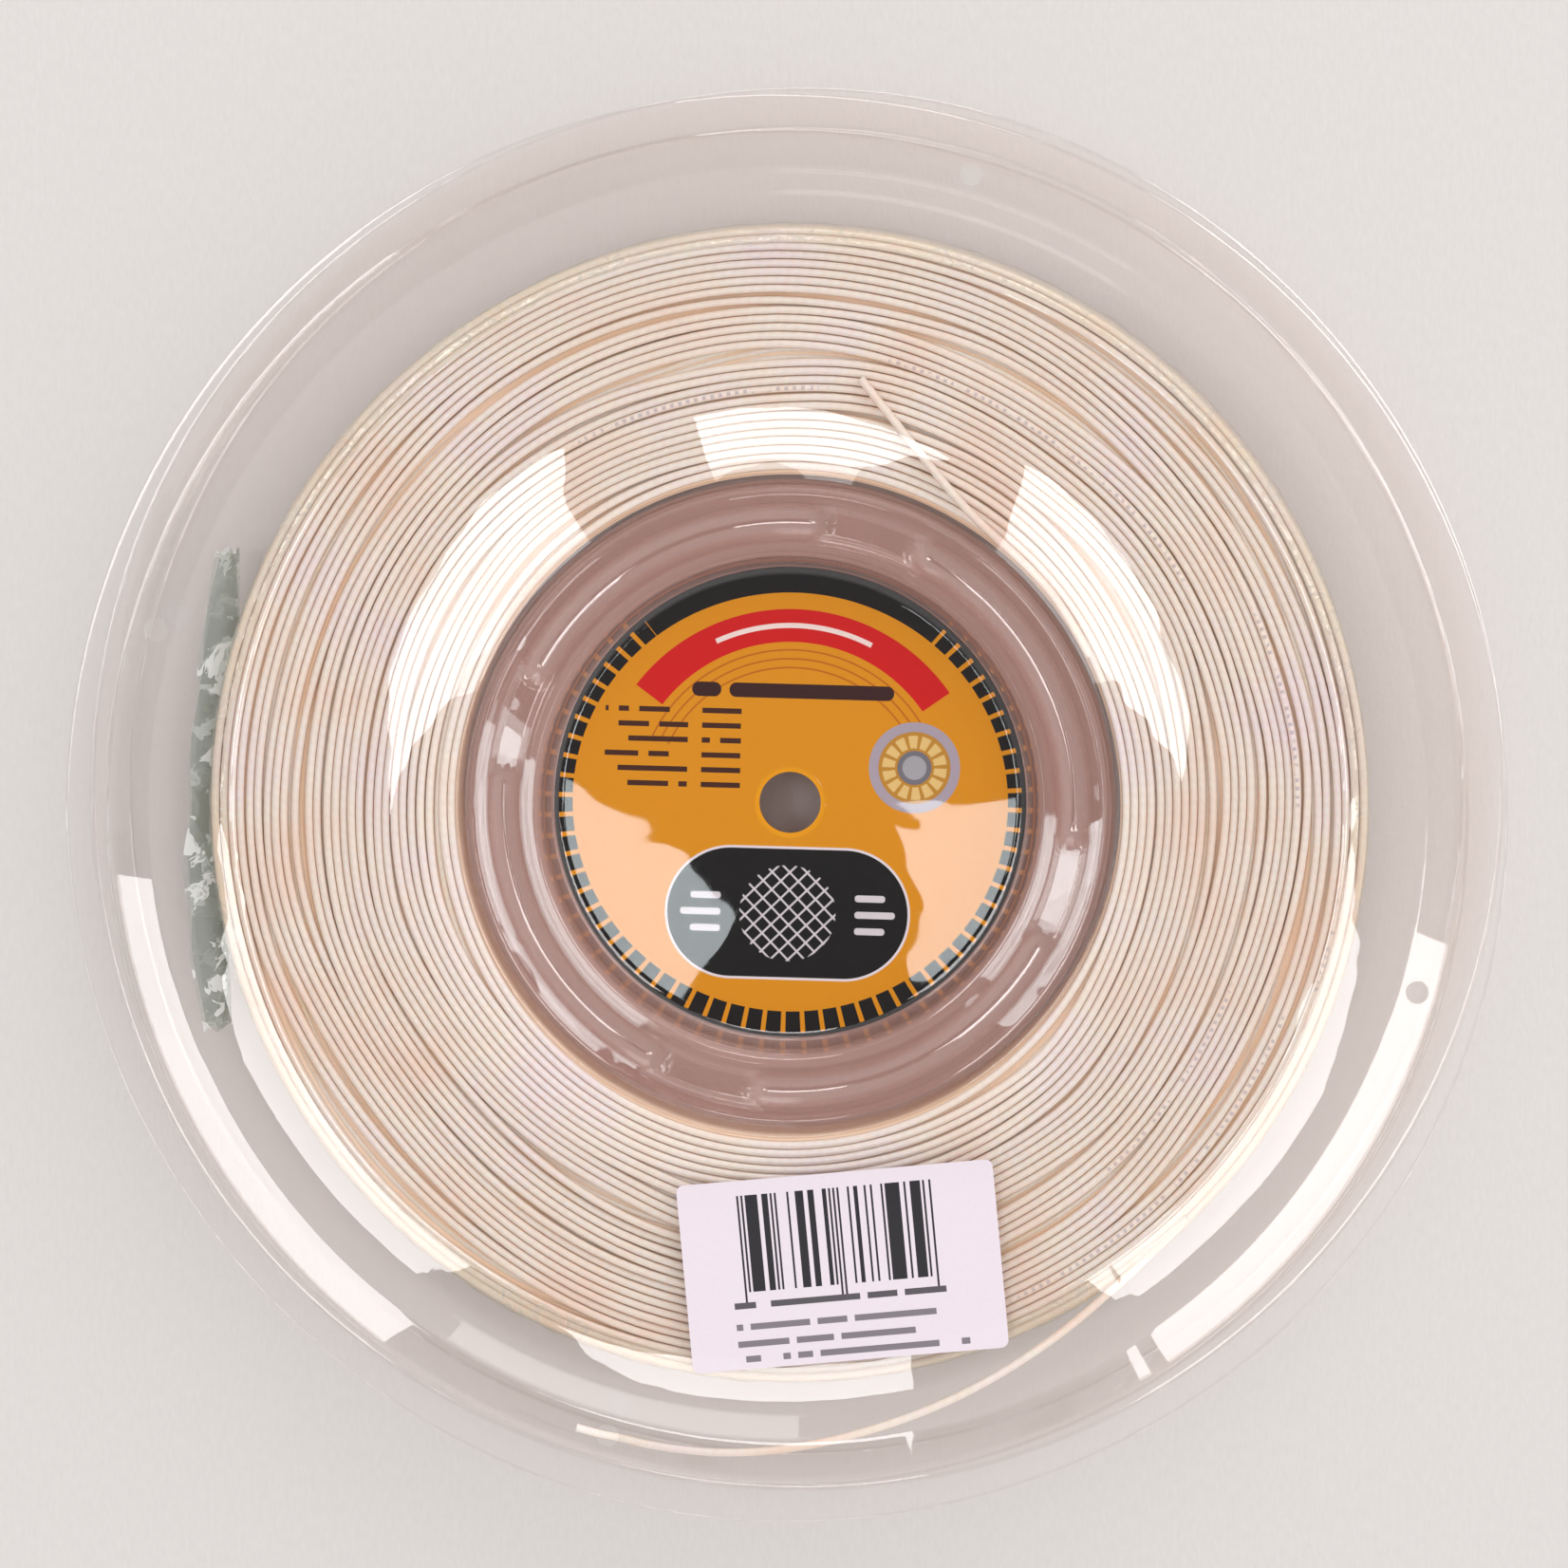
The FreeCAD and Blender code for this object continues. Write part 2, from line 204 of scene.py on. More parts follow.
def formed_sheet(name, outline, ring_height, fine_from, fine_to, upwards):
    """Spin an outline of (radius, height, rounding), with fine rows where the beads go."""
    sheet = draw_outline(name, [(radius, height) for radius, height, _ in outline])
    mesh = sheet.data
    for radius, height, rounding in outline:
        if rounding:
            corner_at(mesh, radius, height)
            bpy.ops.object.mode_set(mode="EDIT")
            bpy.ops.mesh.bevel(offset=rounding, segments=3, affect="VERTICES")
            bpy.ops.object.mode_set(mode="OBJECT")
    mesh.vertices.foreach_set("select", [False] * len(mesh.vertices))
    for edge in mesh.edges:
        ends = [mesh.vertices[index].co for index in edge.vertices]
        edge.select = all(abs(end.z - ring_height) < 1e-5 and fine_from < end.x < fine_to
                          for end in ends)
    bpy.ops.object.mode_set(mode="EDIT")
    bpy.ops.mesh.select_mode(type="EDGE")
    bpy.ops.mesh.subdivide(number_cuts=28)
    spin_round(480)
    flat = [face for face in mesh.polygons if abs(face.normal.z) > 0.99]
    if (sum(face.normal.z * face.area for face in flat) > 0) != upwards:
        mesh.flip_normals()
    return sheet


bead_circle = 0.0449
bead_half_span = math.radians(32.6)
bead_turn = math.radians(28)
channel_half_width, channel_depth = 0.0024, 0.0004
quarter = math.pi / 2


def press_beads(sheet, ring_height, groove, growth):
    """Sink four long round grooves and the shallow channel that joins them into the ring."""
    lift = 0.0006
    for vertex in sheet.data.vertices:
        radius = math.hypot(vertex.co.x, vertex.co.y)
        if abs(vertex.co.z - ring_height) > 1e-5 or not 0.0395 < radius < 0.0500:
            continue
        turn = math.atan2(vertex.co.y, vertex.co.x) - bead_turn
        turn -= round(turn / quarter) * quarter
        over = max(abs(turn) - bead_half_span, 0.0)
        across = math.hypot(radius - bead_circle, radius * over)
        side = channel_half_width + growth * 0.55 - abs(radius - bead_circle)
        depth = channel_depth * min(max(side / channel_depth, 0.0), 1.0)
        if across < groove:
            depth = max(depth, math.sqrt(groove ** 2 - across ** 2) - lift - growth)
        vertex.co.z = ring_height - depth


def thicken(piece, thickness, offset, even=False):
    """Give a surface its wall: behind its face at offset -1, in front of it at 1."""
    pick(piece)
    wall = piece.modifiers.new("wall", "SOLIDIFY")
    wall.thickness = thickness
    wall.offset = offset
    wall.use_even_offset = even
    bpy.ops.object.modifier_apply(modifier=wall.name)


hole_circle, hole_radius, first_hole = 0.1026, 0.0018, -15.9


def punch_holes(sheet, height):
    """Punch the four string holes through the band of a flange."""
    bpy.ops.object.select_all(action="DESELECT")
    punches = []
    for index in range(4):
        turn = math.radians(first_hole + 90 * index)
        bpy.ops.mesh.primitive_cylinder_add(
            vertices=40, radius=hole_radius, depth=0.006,
            location=(hole_circle * math.cos(turn), hole_circle * math.sin(turn), height))
        punches.append(bpy.context.object)
    pick(*punches)
    bpy.ops.object.join()
    pick(sheet)
    hole = sheet.modifiers.new("holes", "BOOLEAN")
    hole.object = punches[0]
    hole.operation = "DIFFERENCE"
    hole.solver = "EXACT"
    bpy.ops.object.modifier_apply(modifier=hole.name)
    bpy.data.objects.remove(punches[0])
    pick(sheet)
    bpy.ops.object.shade_smooth_by_angle(angle=math.radians(40))


def warp(sheet, phase, lean):
    """Let the sheet ripple a little and its cut edge run out of true, as forming leaves it."""
    for vertex in sheet.data.vertices:
        radius = math.hypot(vertex.co.x, vertex.co.y)
        turn = math.atan2(vertex.co.y, vertex.co.x)
        ripple = noise.noise(Vector((vertex.co.x, vertex.co.y, phase)) * 70.0)
        ripple += 0.35 * noise.noise(Vector((vertex.co.x, vertex.co.y, -phase)) * 190.0)
        vertex.co.z += 0.00005 * ripple * min(max((radius - 0.0375) / 0.016, 0.24), 1.0)
        share = max((radius - 0.0985) / 0.014, 0.0)
        if share:
            wave = math.sin(2 * turn + phase) + 0.5 * math.sin(5 * turn + 2 * phase)
            stretch = 1 + 0.0035 * wave * share * share
            vertex.co.x *= stretch
            vertex.co.y *= stretch
            vertex.co.z += lean * 0.00035 * share * math.sin(3 * turn - phase)


hub_edge, floor_edge = 0.0690, 0.0876
crest = 0.036


def dish(radius):
    """Height of the front flange's dish: it falls from the hub, lies level and rises as a cone."""
    near = min(radius, hub_edge)
    height = 0.02942 + 0.130 - math.sqrt(0.130 ** 2 - (near - 0.0701) ** 2)
    height -= 0.0085 * max(min(radius, floor_edge) - hub_edge, 0.0)
    rise = max(radius - floor_edge, 0.0)
    return height + 0.140 * rise + 3.45 * rise ** 2


dish_run = [(0.0520 + 0.0356 * step / 11, 0) for step in range(11)] + [
    (floor_edge, 0.0005), (0.0902, 0), (0.0929, 0), (0.0955, 0.0005)]
# Dish, step, band, crest and lip as (radius, drop under the crest, rounding), alike on both.
flange_run = [(radius, crest - dish(radius), rounding) for radius, rounding in dish_run] + [
    (0.0992, 0.00201, 0.0005), (0.1002, 0.00187, 0), (0.1050, 0.00120, 0),
    (0.1057, 0.0, 0.0002), (0.1067, 0.0, 0.0002),
    (0.1095, 0.00105, 0), (0.1116, 0.00195, 0), (0.1121, 0.00208, 0), (0.1125, 0.00205, 0)]
sheet_wall = 0.0008
back_ring = 0.02440
back_outline = [
    (0.0056, 0.01690, 0), (0.0200, 0.01690, 0), (0.0372, 0.01690, 0), (0.03876, 0.01690, 0.0009),
    (0.0392, 0.01910, 0), (0.0397, 0.0218, 0), (0.04026, back_ring, 0.0009),
    (0.05010, back_ring, 0.0010), (0.0502, 0.0226, 0), (0.05045, 0.0140, 0),
    (0.0505, 0.0075, 0), (0.05060, 0.00560, 0.0013)] + flange_run
back_flange = formed_sheet("back_flange", back_outline, back_ring, 0.0400, 0.0502, False)
press_beads(back_flange, back_ring, 0.00425, 0.0016)
warp(back_flange, 0.7, -1)
thicken(back_flange, sheet_wall, -1, even=True)
punch_holes(back_flange, 0.0020)
# The back flange's pinkish-brown colour serves both its dust and the shade painted over its hub.
back_flange.data.materials.append(clear_sheet(
    "clear_back", (0.997, 0.987, 0.984, 1.0), 0.004, colour(228, 166, 152), 0.0515))
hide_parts("back_shell")
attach(back_flange, "root")


# Printed card: a paper disc held between the discs of the two hubs, with a hole for the spindle.
# Its print is of plain shapes on amber: black ring with ticks, red arc, round-ended badge, rules.

card, wire = finish("printed_card")
place = wire.add("ShaderNodeTexCoord", {}, {}, "Object")
place = wire.add("ShaderNodeMapping", {}, {"Vector": place, "Scale": (1000.0, 1000.0, 1000.0),
                                          "Rotation": (0.0, 0.0, math.radians(1.4))})
parts = wire.add("ShaderNodeSeparateXYZ", {}, {"Vector": place})
x, y, z = parts, parts.output(1), parts.output(2)
reach = wire.math("SQRT", x * x + y * y)
turn = wire.math("ARCTAN2", y, x) * (180 / math.pi)
amber = colour(228, 150, 4)
ink = colour(16, 6, 8)
speck = wire.add("ShaderNodeTexNoise", {}, {"Vector": place, "Scale": 2.2, "Detail": 4.0})
face = wire.blend(speck * 0.25, amber, colour(218, 140, 3))


def print_on(under, mask, over):
    """The print with one more ink laid over it where the mask is 1."""
    return wire.blend(mask, under, over)


def bar(middle_x, middle_y, half_x, half_y, rounding):
    """Mask of a bar with round corners, in millimetres."""
    over_x = wire.math("MAXIMUM", wire.math("ABSOLUTE", x - middle_x) - (half_x - rounding), 0.0)
    over_y = wire.math("MAXIMUM", wire.math("ABSOLUTE", y - middle_y) - (half_y - rounding), 0.0)
    return wire.math("SQRT", over_x * over_x + over_y * over_y) < rounding


top_turn = wire.math("ABSOLUTE", turn - 90.0)
for line_radius in (21.2, 22.6, 24.0):
    line = reach.between(line_radius, line_radius + 0.28) * (top_turn < 66.0)
    face = print_on(face, line, colour(196, 108, 6))
face = print_on(face, reach.between(25.4, 30.6) * (top_turn < 54.0), colour(214, 14, 16))
face = print_on(face, reach.between(27.6, 28.4) * (top_turn < 26.0), colour(250, 232, 226))
for row in range(6):
    row_y = 14.2 - row * 2.35
    word = wire.math("FLOOR", x * 0.62)
    chance = wire.add("ShaderNodeTexWhiteNoise", {"noise_dimensions": "2D"}, {
        "Vector": wire.add("ShaderNodeCombineXYZ", {}, {0: word, 1: float(row)})})
    rule = (wire.math("ABSOLUTE", y - row_y) < 0.42) * x.between(1.6 * (row % 3) - 29.5, -8.0)
    rule = rule * (1 - x.between(-16.4, -14.2)) * (chance > 0.16)
    face = print_on(face, rule, colour(70, 34, 20))
for bar_x, bar_half in ((3.0, 13.0), (-13.6, 2.3)):
    face = print_on(face, bar(bar_x, 17.6, bar_half, 1.15, 1.1), colour(58, 26, 24))
spool_x, spool_y = 19.5, 6.0
face = print_on(face, bar(spool_x, spool_y, 7.2, 7.2, 7.1), colour(176, 164, 178))
ring_x, ring_y = x - spool_x, y - spool_y
ring_reach = wire.math("SQRT", ring_x * ring_x + ring_y * ring_y)
ring_turn = wire.math("ARCTAN2", ring_y, ring_x) * (14 / (2 * math.pi))
face = print_on(face, ring_reach < 5.7, colour(196, 140, 52))
face = print_on(face, ring_reach.between(3.1, 5.1) * (wire.math("FRACT", ring_turn + 8.0) > 0.3),
                colour(236, 200, 128))
face = print_on(face, ring_reach < 2.7, colour(120, 118, 126))
face = print_on(face, ring_reach < 1.9, colour(170, 170, 176))
badge_y = -17.6
face = print_on(face, bar(0.0, badge_y, 19.4, 10.6, 10.5), colour(236, 226, 232))
face = print_on(face, bar(0.0, badge_y, 19.0, 10.2, 10.1), colour(8, 5, 7))
for cross in range(2):
    along = x + y if cross else x - y
    thread = wire.math("FRACT", (along + 100.0) * 0.36) < 0.16
    face = print_on(face, thread * bar(0.0, badge_y, 7.6, 7.6, 7.5), colour(214, 208, 214))
for side in (-1, 1):
    for rule_y, rule_half in ((-15.0, 2.4), (badge_y, 3.2), (-20.2, 2.4)):
        face = print_on(face, bar(side * (10.6 + rule_half), rule_y, rule_half, 0.55, 0.5),
                        colour(222, 216, 222))
rim = (x * x) * (1 / 34.4 ** 2) + (y * y) * (1 / 33.2 ** 2) > 1.0
face = print_on(face, rim, ink)
tick = wire.math("FRACT", (turn + 181.0) * (72 / 360)) < 0.24
face = print_on(face, rim * tick * (reach < 36.6) * (top_turn > 40.0), amber)
back = wire.blend(reach.between(30.0, 30.5), colour(186, 104, 48), colour(140, 84, 50))
printed = wire.blend(z > 18.2, back, face)
fibres = wire.add("ShaderNodeBump", {}, {"Height": speck, "Strength": 0.15, "Distance": 0.0001})
paper = wire.add("ShaderNodeBsdfPrincipled", {}, {
    "Base Color": printed, "Roughness": 0.30 + speck * 0.1, "Specular IOR Level": 0.2,
    "Normal": fibres})
wire.add("ShaderNodeOutputMaterial", {}, {"Surface": paper})
card_disc = bpy.data.objects["label_card"]
card_disc.data.materials.clear()
card_disc.data.materials.append(card)


# Front flange: the same kind of clear sheet, pressed into the back one at the hub. Its recess
# shows the card, and its long beads, crest ring and lip stiffen it.

front_ring = 0.0260
front_outline = [(0.0056 + 0.0025 * step, 0.01910, 0) for step in range(13)] + [
    (0.0374, 0.01910, 0.0009), (0.0378, 0.0209, 0), (0.0383, 0.0235, 0),
    (0.0388, front_ring, 0.0012), (0.0503, front_ring, 0.0006), (0.0505, 0.0273, 0),
    (0.0507, 0.0289, 0), (0.0510, 0.03095, 0.0014),
] + [(radius, crest - drop, rounding) for radius, drop, rounding in flange_run]
front_flange = formed_sheet("front_flange", front_outline, front_ring, 0.0396, 0.0500, True)
press_beads(front_flange, front_ring, 0.0025, 0.0)
warp(front_flange, 2.1, 1)
thicken(front_flange, sheet_wall, -1, even=True)
punch_holes(front_flange, 0.0340)
front_flange.data.materials.append(clear_sheet(
    "clear_front", (0.996, 0.988, 0.985, 1.0), 0.003, colour(226, 214, 212), 0.0))
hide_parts("front_shell")
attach(front_flange, "root")


# Coil: about 200 m of one string of 1.34 mm, a multifilament with a pearly wrapped skin, wound
# round the drum. The inner layers are a ring ribbed by the string; loose rounds lie on its faces.

string_radius = 0.00067
wrap_pitch = 0.0017

def string_skin(name, wraps, low_tone, high_tone):
    """Pearly skin over a diagonal wrap, with amber shade painted along its sides, and faint dashes
    on its marks.
    """
    material, wire = finish(name)
    along = wire.add("ShaderNodeUVMap", {"uv_map": "UVMap"}, {})
    parts = wire.add("ShaderNodeSeparateXYZ", {}, {"Vector": along})
    length = parts * wraps
    around = parts.output(1)
    weave = wire.math("SINE", (length + around) * (2 * math.pi))
    place = wire.add("ShaderNodeTexCoord", {}, {}, "Object")
    cloud = wire.add("ShaderNodeTexNoise", {}, {"Vector": place, "Scale": 42.0, "Detail": 3.0})
    fine = wire.add("ShaderNodeTexNoise", {}, {"Vector": place, "Scale": 520.0, "Detail": 2.0})
    pearl = wire.add("ShaderNodeValToRGB", {"stops": [
        (0.32, low_tone), (0.50, colour(254, 238, 227)), (0.68, high_tone)]}, {"Fac": cloud})
    worn = wire.blend((weave * 0.5 + 0.5) * 0.16 + (fine > 0.6) * 0.08, pearl,
                      colour(238, 208, 190))
    mark = wire.add("ShaderNodeAttribute", {"attribute_name": "mark"}, {}, "Fac")
    dash = wire.math("FRACT", length * 1.3) < 0.45
    # Amber blended onto the sides of each strand is painted shade, for the warm shade between
    # touching strands.
    flank_shade = wire.add("ShaderNodeAttribute", {"attribute_name": "flank_shade"}, {}, "Fac")
    skin = wire.blend(flank_shade * 0.5, worn, colour(240, 206, 180))
    skin = wire.blend(mark * dash * (fine > 0.44) * 0.6, skin, colour(150, 140, 158))
    relief = wire.add("ShaderNodeBump", {}, {
        "Height": weave * 0.5 + fine * 0.6, "Strength": 0.5, "Distance": 0.00006})
    whole = wire.add("ShaderNodeBsdfPrincipled", {}, {
        "Base Color": skin, "Roughness": 0.28, "Coat Weight": 0.8, "Coat Roughness": 0.1,
        "Subsurface Weight": 0.6, "Subsurface Radius": (1.0, 0.7, 0.5),
        "Subsurface Scale": 0.0012, "Normal": relief})
    wire.add("ShaderNodeOutputMaterial", {}, {"Surface": whole})
    return material


def string_line(name, places, closed, sides, fineness):
    """A smooth line near the places, as thick as the string."""
    line = bpy.data.curves.new(name, "CURVE")
    line.dimensions = "3D"
    line.bevel_depth = string_radius
    line.bevel_resolution = sides
    line.resolution_u = fineness
    line.use_fill_caps = not closed
    run = line.splines.new("NURBS")
    run.points.add(len(places) - 1)
    for point, place in zip(run.points, places):
        point.co = (*place, 1)
    run.use_cyclic_u = closed
    run.order_u = 3
    run.use_endpoint_u = not closed
    piece = bpy.data.objects.new(name, line)
    bpy.context.collection.objects.link(piece)
    return piece


def strand(name, places, closed, wrap_count, sides, fineness, marks=()):
    """One run of string along its places, as a tube whose skin pattern follows it."""
    pick(string_line(name, places, closed, sides, fineness))
    bpy.ops.object.convert(target="MESH")
    piece = bpy.context.object
    for corner in piece.data.uv_layers[0].data:
        corner.uv[0] *= wrap_count
    # Each vertex records how far its normal turns to the side; the skin paints shade there.
    flanks = piece.data.attributes.new("flank_shade", "FLOAT", "POINT")
    for index, vertex in enumerate(piece.data.vertices):
        flanks.data[index].value = 1 - abs(vertex.normal.z)
    marked = piece.data.attributes.new("mark", "FLOAT", "POINT")
    for index, vertex in enumerate(piece.data.vertices):
        clock = math.degrees(-math.atan2(vertex.co.y, vertex.co.x)) % 360
        on_top = vertex.normal.z > 0.85
        marked.data[index].value = float(on_top and any(low < clock < high for low, high in marks))
    return piece


def rounds(name, count, inner, outer, height, lift, seed, sides, marked=None):
    """Rounds of string on a face of the coil: most touch, and gaps open and close between some."""
    pitch = 0.00125
    chance = random.Random(seed)
    parting = [(chance.choice((1, 1, 2, 2, 3)), chance.uniform(0, 6.28),
                chance.choice((0.4, 1.0, 1.0, 2.2))) for _ in range(count)]
    rises = [chance.uniform(-0.00030, 0.00008) for _ in range(count)]
    rolls = [(chance.choice((1, 2, 3)), chance.uniform(0, 6.28)) for _ in range(count)]
    spare = outer - inner - pitch * (count - 1)
    places = [[] for _ in range(count)]
    for step in range(48):
        angle = math.radians(7.5 * step)
        gaps = [0.015 + width * max(math.sin(turns * angle + phase) - 0.5, 0.0) ** 1.5
                for turns, phase, width in parting]
        share = spare / sum(gaps[1:])
        radius = inner + 0.00025 * math.sin(2 * angle + seed)
        for index in range(count):
            radius += (pitch + gaps[index] * share) if index else 0.0
            far = min(radius, outer) / 0.997856
            turns, phase = rolls[index]
            high = height + lift * (rises[index] + 0.00014 * math.sin(turns * angle + phase))
            places[index].append((far * math.cos(angle), far * math.sin(angle), high))
    laid = []
    for index in range(count):
        wraps = round(2 * math.pi * (inner + 0.0014 * index) / wrap_pitch)
        marks = (marked or {}).get(index, ())
        laid.append(strand(f"{name}_{index}", places[index], True, wraps, sides, 3, marks))
    pick(*laid)
    bpy.ops.object.join()
    whole = bpy.context.object
    whole.name = name
    pick(whole)
    bpy.ops.object.shade_smooth()
    return whole


pearl = (colour(252, 224, 210), colour(250, 233, 235))
skin = string_skin("string_pearl", 1.0, *pearl)
# The rounds under the front ones take a warmer tan copy of the pearl skin: painted shade for where
# they show in the gaps.
shaded_under_skin = string_skin(
    "string_pearl_shaded_under", 1.0, colour(253, 222, 186), colour(253, 230, 204))
marked_rounds = {24: [(9, 20)], 22: [(23, 64)], 19: [(338, 360)], 16: [(23, 50)],
                 13: [(282, 330)], 9: [(241, 275)]}
front_rounds = rounds("front_rounds", 26, 0.0534, 0.0892, 0.02598, 1, 11, 2, marked_rounds)
under_rounds = rounds("under_rounds", 25, 0.0541, 0.0889, 0.02486, 1, 23, 1)
back_rounds = rounds("back_rounds", 26, 0.0534, 0.0892, 0.00845, -1, 37, 1)

rib_depth = 0.00030
corners = [(0.0522, 0.0090), (0.0893, 0.0090), (0.0893, 0.0254), (0.0522, 0.0254)]
ribs = []
for start, end in zip(corners, corners[1:] + corners[:1]):
    run = math.hypot(end[0] - start[0], end[1] - start[1])
    count = round(run / (2 * string_radius)) * 4
    out = ((end[1] - start[1]) / run, -(end[0] - start[0]) / run)
    for step in range(count):
        share = step / count
        sink = -rib_depth * abs(math.cos(math.pi * step / 4))
        ribs.append((start[0] + (end[0] - start[0]) * share + out[0] * sink,
                     start[1] + (end[1] - start[1]) * share + out[1] * sink))
inner_layers = draw_outline("inner_layers", ribs, closed=True)
bpy.ops.object.mode_set(mode="EDIT")
spin_round(180)
bpy.ops.object.shade_smooth_by_angle(angle=math.radians(60))
# The inner layers are the same string, painted a warmer tan: painted shade for the deep coil seen
# at the hub mouth and in gaps.
layers, wire = finish("inner_string")
place = wire.add("ShaderNodeTexCoord", {}, {}, "Object")
cloud = wire.add("ShaderNodeTexNoise", {}, {"Vector": place, "Scale": 60.0, "Detail": 3.0})
shaded_tan = wire.add("ShaderNodeValToRGB", {"stops": [
    (0.35, colour(244, 214, 184)), (0.65, colour(250, 224, 198))]}, {"Fac": cloud})
whole = wire.add("ShaderNodeBsdfPrincipled", {}, {
    "Base Color": shaded_tan, "Roughness": 0.42, "Coat Weight": 0.2})
wire.add("ShaderNodeOutputMaterial", {}, {"Surface": whole})
inner_layers.data.materials.append(layers)
for piece in (front_rounds, under_rounds, back_rounds):
    piece.data.materials.append(shaded_under_skin if piece is under_rounds else skin)
for piece in (inner_layers, front_rounds, under_rounds, back_rounds):
    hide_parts("string_core")
    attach(piece, "root")


# Outer layer of the coil: thirteen touching turns of the same string, laid over the inner layers
# in one unbroken run that ends where the string leaves the coil.

turn_count, turn_steps = 13, 36
last_step = turn_count * turn_steps
coil_radius, last_height, turn_pitch = 0.09034, 0.02592, 0.001352
end_angle = math.atan2(-0.06482, 0.06293)
turns = []
for step in range(last_step + 1):
    angle = end_angle - math.radians(10 * (last_step - step))
    height = last_height - turn_pitch * (turn_count - step / turn_steps)
    far = coil_radius if step in (0, last_step) else coil_radius / 0.99619
    turns.append((far * math.cos(angle), far * math.sin(angle), height))
outer_turns = strand("outer_turns", turns, False, turn_count * 334, 2, 4)
pick(outer_turns)
bpy.ops.object.shade_smooth()
outer_turns.data.materials.append(skin)
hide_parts("string_turns")
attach(outer_turns, "root")


# The string's two free ends. The outer one follows the flange and comes up through a string hole
# of the front flange; the inner one lies over the coil's face, clipped beside the hub.


def free_end(name, places, node, length):
    """A free end of the string, a smooth line through the places that its solid follows."""
    piece = string_line(name, places, False, 3, 16)
    piece.data.materials.append(string_skin(name + "_pearl", length / wrap_pitch, *pearl))
    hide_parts(node)
    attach(piece, "root")
    return piece


outer_end = free_end("outer_end", [
    (0.06293, -0.06482, 0.02592), (0.05373, -0.07401, 0.02601), (0.04129, -0.08466, 0.02820),
    (0.02523, -0.09417, 0.02960), (0.00700, -0.10016, 0.03100), (-0.00803, -0.10199, 0.03195),
    (-0.02032, -0.10077, 0.03240), (-0.02683, -0.09908, 0.03255), (-0.02957, -0.09825, 0.03522),
    (-0.03293, -0.09728, 0.03528)], "string_end", 0.1086)
inner_end = free_end("inner_end", [
    (0.04730, 0.02400, 0.02765), (0.04360, 0.03120, 0.02765), (0.03760, 0.03820, 0.02765),
    (0.02860, 0.04600, 0.02765), (0.02000, 0.05650, 0.02765), (0.01140, 0.06740, 0.02765)],
    "string_tail", 0.0566)


# Wrap: a thin clear film drawn round the coil. Its edges fold in over the outer turns in small
# pleats, and it has a faint olive tint where it is seen through its length.

wrap_outline = [
    (0.0885, 0.00875), (0.0902, 0.00750), (0.0912, 0.00800), (0.09125, 0.0105), (0.09125, 0.0140),
    (0.09125, 0.0180), (0.09125, 0.0220), (0.09125, 0.0250), (0.0912, 0.02650),
    (0.0904, 0.02712), (0.0892, 0.02735), (0.0884, 0.02725),
]
wrap_middle, wrap_flat = 0.0173, 0.0085
coil_wrap = draw_outline("coil_wrap", wrap_outline)
bpy.ops.object.mode_set(mode="EDIT")
spin_round(720)
chance = random.Random(5)
pleats = [(chance.choice((31, 43, 57, 74, 91)), chance.uniform(0, 6.28),
           chance.uniform(0.4, 1.0)) for _ in range(6)]
for vertex in coil_wrap.data.vertices:
    radius = math.hypot(vertex.co.x, vertex.co.y)
    turn = math.atan2(vertex.co.y, vertex.co.x)
    wave = sum(size * math.sin(number * turn + phase) for number, phase, size in pleats)
    edge = min(max((abs(vertex.co.z - wrap_middle) - wrap_flat) / 0.0015, 0.0), 1.0)
    slow = math.sin(3 * turn + 1) + math.sin(7 * turn + 4)
    inward = max(0.0912 - radius, 0.0)
    stretch = 1 + (0.00002 * wave + edge * (0.00006 * wave - 0.10 * inward * slow)) / radius
    vertex.co.x *= stretch
    vertex.co.y *= stretch
    vertex.co.z += edge * math.copysign(0.00005, vertex.co.z - wrap_middle) * wave
thicken(coil_wrap, 0.00005, 1)
bpy.ops.object.shade_smooth()


def thin_film(name, tint, haze, crease):
    """Thin film: clear, glossy, with painted highlights as white lines along its creases."""
    material, wire = finish(name)
    place = wire.add("ShaderNodeTexCoord", {}, {}, "Object")
    fold = wire.add("ShaderNodeTexNoise", {}, {"Vector": place, "Scale": 170.0, "Detail": 4.0,
                                              "Distortion": 1.2})
    relief = wire.add("ShaderNodeBump", {}, {"Height": fold, "Strength": 1.0, "Distance": 0.0004})
    facing = wire.add("ShaderNodeLayerWeight", {}, {"Blend": 0.5, "Normal": relief}, "Facing")
    gloss = 0.05 + wire.math("POWER", facing, 3.0) * 0.5
    through = wire.add("ShaderNodeBsdfTransparent", {}, {"Color": tint})
    mirror = wire.add("ShaderNodeBsdfPrincipled", {}, {
        "Base Color": (0.97, 0.97, 0.97, 1.0), "Metallic": 1.0, "Roughness": 0.12,
        "Normal": relief})
    sheen = wire.add("ShaderNodeMixShader", {}, {0: gloss, 1: through, 2: mirror})
    # Past the crease value the diffuse layer turns white: painted highlight; below it the layer is
    # the film's haze.
    white = wire.add("ShaderNodeBsdfPrincipled", {}, {
        "Base Color": wire.blend(fold > 0.58, crease, colour(240, 244, 242)), "Roughness": 0.35,
        "Normal": relief})
    # Along a band of the creases the white layer thickens into painted highlight lines; elsewhere
    # it is haze.
    worn = haze + fold.between(0.58, 0.66) * haze * 3
    whole = wire.add("ShaderNodeMixShader", {}, {0: worn, 1: sheen, 2: white})
    wire.add("ShaderNodeOutputMaterial", {}, {"Surface": whole})
    return material


coil_wrap.data.materials.append(
    thin_film("wrap_clear", (0.975, 0.968, 0.94, 1.0), 0.02, colour(236, 228, 212)))
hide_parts("wrap_film")
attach(coil_wrap, "root")


